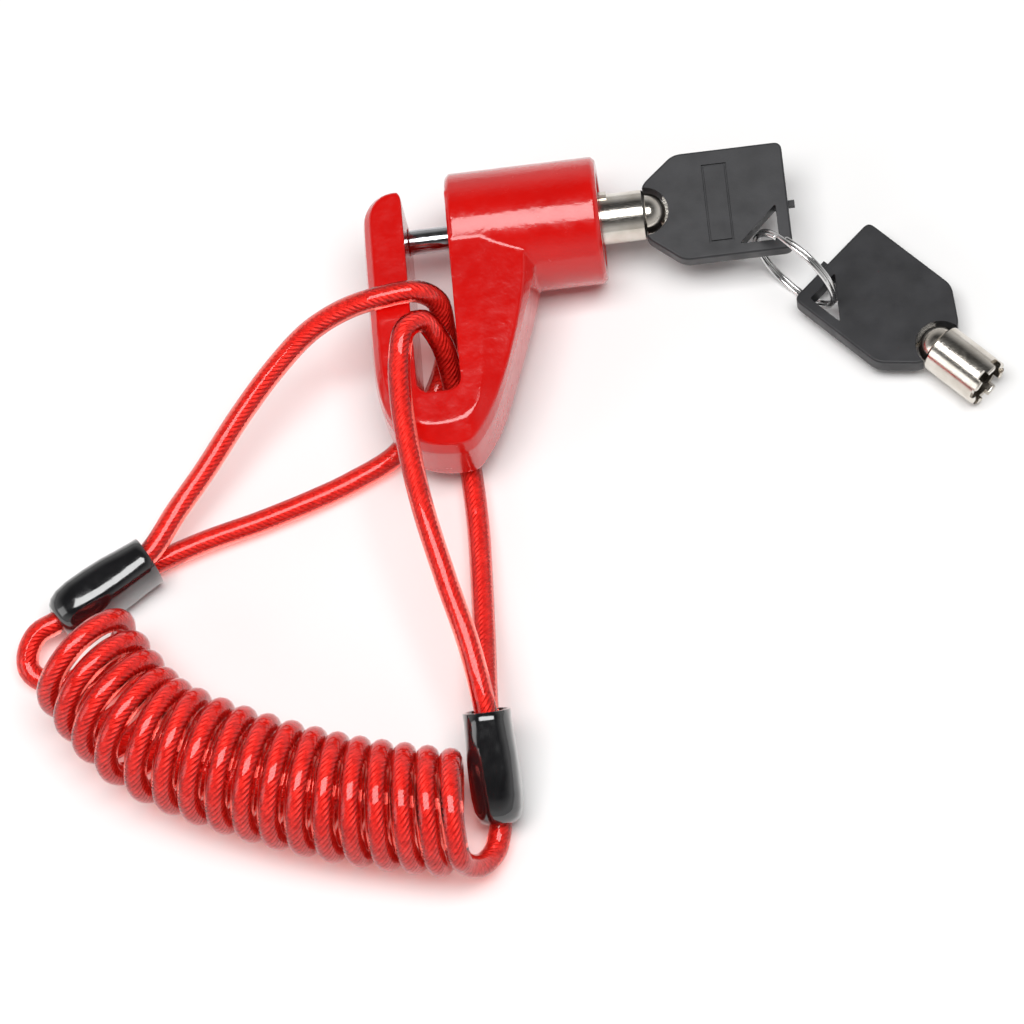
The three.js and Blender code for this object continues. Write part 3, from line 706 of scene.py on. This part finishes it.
def key_bow(name):
    outline = filleted([
        (0, 5.5), (6.9, BOW_HALF_WIDTH), (BOW_LENGTH, BOW_HALF_WIDTH),
        (BOW_LENGTH, -BOW_HALF_WIDTH), (6.9, -BOW_HALF_WIDTH), (0, -5.5)], 1.6)
    bow = freeze(bevelled(prism(name, outline, -BOW_HALF_THICK, BOW_HALF_THICK), 0.45, 3, 35))
    hole = filleted([(26.1, -9.1), (26.1, -1.7), (18.2, -9.1)], 0.6, 4)
    combine(bow, prism("ring_hole", hole, -5, 5))
    seat = [(-1, -5.0)] + [(5.0 * math.sin(a), -5.0 * math.cos(a))
                           for a in (k * math.pi / 24 for k in range(25))] + [(-1, 5.0)]
    combine(bow, prism("seat", seat, -5, 5))
    mark = block("mark", (4.9, 16.4, 0.9), (14.8, 0, BOW_HALF_THICK))
    combine(mark, block("mark_inner", (4.1, 15.6, 2.0), (14.8, 0, BOW_HALF_THICK)))
    combine(bow, mark)
    combine(bow, block("gate_stub", (1.6, 1.3, 1.2), (BOW_LENGTH + 0.5, -1.4, -0.3)), "UNION")
    return bow


def build_key(number, place):
    body = f"key_{number}"
    tube = freeze(bevelled(key_tube(f"{body}_nickel"), 0.12, 2, 40))
    finish_piece(tube, "nickel", body, f"{body}_tube", move=TO_ROW @ place)
    bow = freeze(bevelled(key_bow(f"{body}_plastic"), 0.08, 2, 40))
    finish_piece(bow, "plastic", body, f"{body}_bow", move=TO_ROW @ place)


# ---- split ring ------------------------------------------------------------------------
RING_R = 9.9
RING_RADIAL = 1.05
RING_AXIAL = 0.8
RING_CENTRE = (67.03, -14.87, 10.47)
RING_HEADING = -46
RING_TURNS = 1.97
RING_STEPS = 220
RING_START = 115                 # degrees from the ring's level line to the wire's end
CROSSOVER = 0.16                 # share of a turn in which the wire shifts to the other side


def squared(value):
    """Draws a circle's coordinate out towards that of a square."""
    return math.copysign(abs(value) ** 0.5, value)


def build_ring():
    """Flat wire of two turns side by side, shifting across in a short stretch."""
    rings = []
    for i in range(RING_STEPS + 1):
        turn = RING_TURNS * i / RING_STEPS
        shift = min(max((turn - (RING_TURNS - CROSSOVER) / 2) / CROSSOVER, 0), 1)
        side = (shift * shift * (3 - 2 * shift) - 0.5) * RING_AXIAL * 1.02
        a = 2 * math.pi * turn + math.radians(RING_START)
        ring = []
        for k in range(12):
            b = 2 * math.pi * k / 12
            r = RING_R + RING_RADIAL / 2 * squared(math.cos(b))
            y = side + RING_AXIAL / 2 * 0.96 * squared(math.sin(b))
            ring.append((r * math.cos(a), y, r * math.sin(a)))
        rings.append(ring)
    ring = skin("split_ring_wire", rings)
    place = Matrix.Translation(RING_CENTRE) @ Matrix.Rotation(math.radians(RING_HEADING), 4, "Z")
    return finish_piece(ring, "ring", "ring", "split_ring", move=TO_ROW @ place)


# ---- sleeves ---------------------------------------------------------------------------
SLEEVE_STATIONS = [              # x, half width, half height, squareness
    (0.0, 4.65, 5.7, 2.3), (-1.5, 4.6, 5.8, 2.4), (-4.5, 4.7, 5.85, 2.6), (-8.0, 4.9, 5.95, 2.9),
    (-12.0, 4.95, 5.95, 3.0), (-16.0, 4.9, 5.85, 2.9), (-18.6, 4.65, 5.4, 2.7),
    (-20.2, 4.15, 4.6, 2.4), (-21.1, 3.5, 3.7, 2.2), (-SLEEVE_LENGTH, 2.7, 2.9, 2.0),
]
WALL = 0.75


def oval(x, half_width, half_height, power, sides=48):
    ring = []
    for k in range(sides):
        a = 2 * math.pi * k / sides
        y = math.copysign(abs(math.cos(a)) ** (2 / power), math.cos(a)) * half_width
        z = math.copysign(abs(math.sin(a)) ** (2 / power), math.sin(a)) * half_height
        ring.append((x, y, z))
    return ring


def build_sleeve(name, sleeve, node):
    inner = [oval(x, w - WALL, h - WALL, p) for x, w, h, p in SLEEVE_STATIONS[:4]]
    _, w, h, p = SLEEVE_STATIONS[0]
    rim = [oval(0.12, w - WALL * share, h - WALL * share, p) for share in (0.7, 0.3)]
    outer = [oval(*station) for station in SLEEVE_STATIONS]
    hole = CORD_R + 0.1
    end = [oval(x, hole, hole, 2) for x in (0.4 - SLEEVE_LENGTH, 2.0 - SLEEVE_LENGTH)]
    obj = skin(name, [*reversed(inner), *rim, *outer, *end])
    return finish_piece(obj, "vinyl", "lock", node, move=TO_ROW @ sleeve_place(sleeve))


# ---- wire rope inside the jacket -------------------------------------------------------
ROPE_R = 1.2
ROPE_WIRES = 7
ROPE_LAY = 8.0                   # length of one turn of the wires


def rope_section():
    """Outline of wires laid side by side round a core, as (radius, angle) pairs."""
    wire_r = ROPE_R * math.sin(math.pi / ROPE_WIRES) / (1 + math.sin(math.pi / ROPE_WIRES))
    centre = ROPE_R - wire_r
    section = []
    for w in range(ROPE_WIRES):
        for k in (-0.94, -0.5, 0.0, 0.5):
            a = k * math.pi / ROPE_WIRES
            r = centre * math.cos(a) + math.sqrt(max(wire_r**2 - (centre * math.sin(a)) ** 2, 0))
            section.append((r, a + 2 * math.pi * w / ROPE_WIRES))
    return section


def build_rope(route):
    section = rope_section()
    ahead = np.gradient(route, axis=0)
    ahead /= np.linalg.norm(ahead, axis=1)[:, None]
    side = np.cross(ahead[0], [0, 0, 1.0])
    run, rings = 0.0, []
    for i, point in enumerate(route):
        if i:
            run += np.linalg.norm(point - route[i - 1])
        side = side - ahead[i] * np.dot(side, ahead[i])
        side /= np.linalg.norm(side)
        other = np.cross(ahead[i], side)
        twist = 2 * math.pi * run / ROPE_LAY
        rings.append([point + r * (math.cos(a + twist) * side + math.sin(a + twist) * other)
                      for r, a in section])
    rope = skin("cable_rope", rings)
    return finish_piece(rope, "rope", "lock")


# ---- put together ----------------------------------------------------------------------
build_body()
build_pin()
dress_cad_nodes()
build_key(1, KEY_1_PLACE)
build_key(2, KEY_2_PLACE)
build_ring()
sleeves = [build_sleeve("sleeve_a_vinyl", SLEEVE_A, "sleeve_a"),
           build_sleeve("sleeve_b_vinyl", SLEEVE_B, "sleeve_b")]
build_rope(route)

cable.data.materials.append(LOOKS["jacket"])
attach(cable, "lock")
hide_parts("cable_loop_a", "cable_loop_b", "cable_tail_a", "cable_tail_b", "cable_coil")


# ---- table and light -------------------------------------------------------------------
def build_table():
    bpy.ops.mesh.primitive_plane_add(size=6)
    table = bpy.context.object
    table.name = "table"
    table.data.materials.append(LOOKS["table"])


def area_light(name, place, aim, size, power):
    data = bpy.data.lights.new(name, "AREA")
    data.shape = "RECTANGLE"
    data.size, data.size_y = size
    data.energy = power
    light = bpy.data.objects.new(name, data)
    bpy.context.collection.objects.link(light)
    light.location = place
    light.rotation_mode = "QUATERNION"
    light.rotation_quaternion = (Vector(aim) - Vector(place)).to_track_quat("-Z", "Y")


def build_world(strength):
    """White walls up to half height under a dark ceiling."""
    world = bpy.data.worlds.new("studio")
    bpy.context.scene.world = world
    world.use_nodes = True
    nodes, links = world.node_tree.nodes, world.node_tree.links
    direction = nodes.new("ShaderNodeTexCoord")
    height = nodes.new("ShaderNodeSeparateXYZ")
    shade = nodes.new("ShaderNodeValToRGB")
    links.new(direction.outputs["Generated"], height.inputs["Vector"])
    links.new(height.outputs["Z"], shade.inputs["Fac"])
    links.new(shade.outputs["Color"], nodes["Background"].inputs["Color"])
    wall, ceiling = shade.color_ramp.elements
    wall.position, wall.color = 0.3, (1.0, 0.995, 0.99, 1)
    ceiling.position, ceiling.color = 0.75, (0.09, 0.09, 0.09, 1)
    nodes["Background"].inputs["Strength"].default_value = strength


build_table()
build_world(0.55)
area_light("overhead_softbox", (-0.02, -0.12, 1.0), (-0.02, -0.05, 0), (1.0, 0.5), 11.0)
area_light("side_fill", (-0.9, -0.3, 0.45), (-0.02, -0.05, 0), (0.4, 0.5), 1.0)
bpy.context.scene.view_settings.view_transform = "Standard"
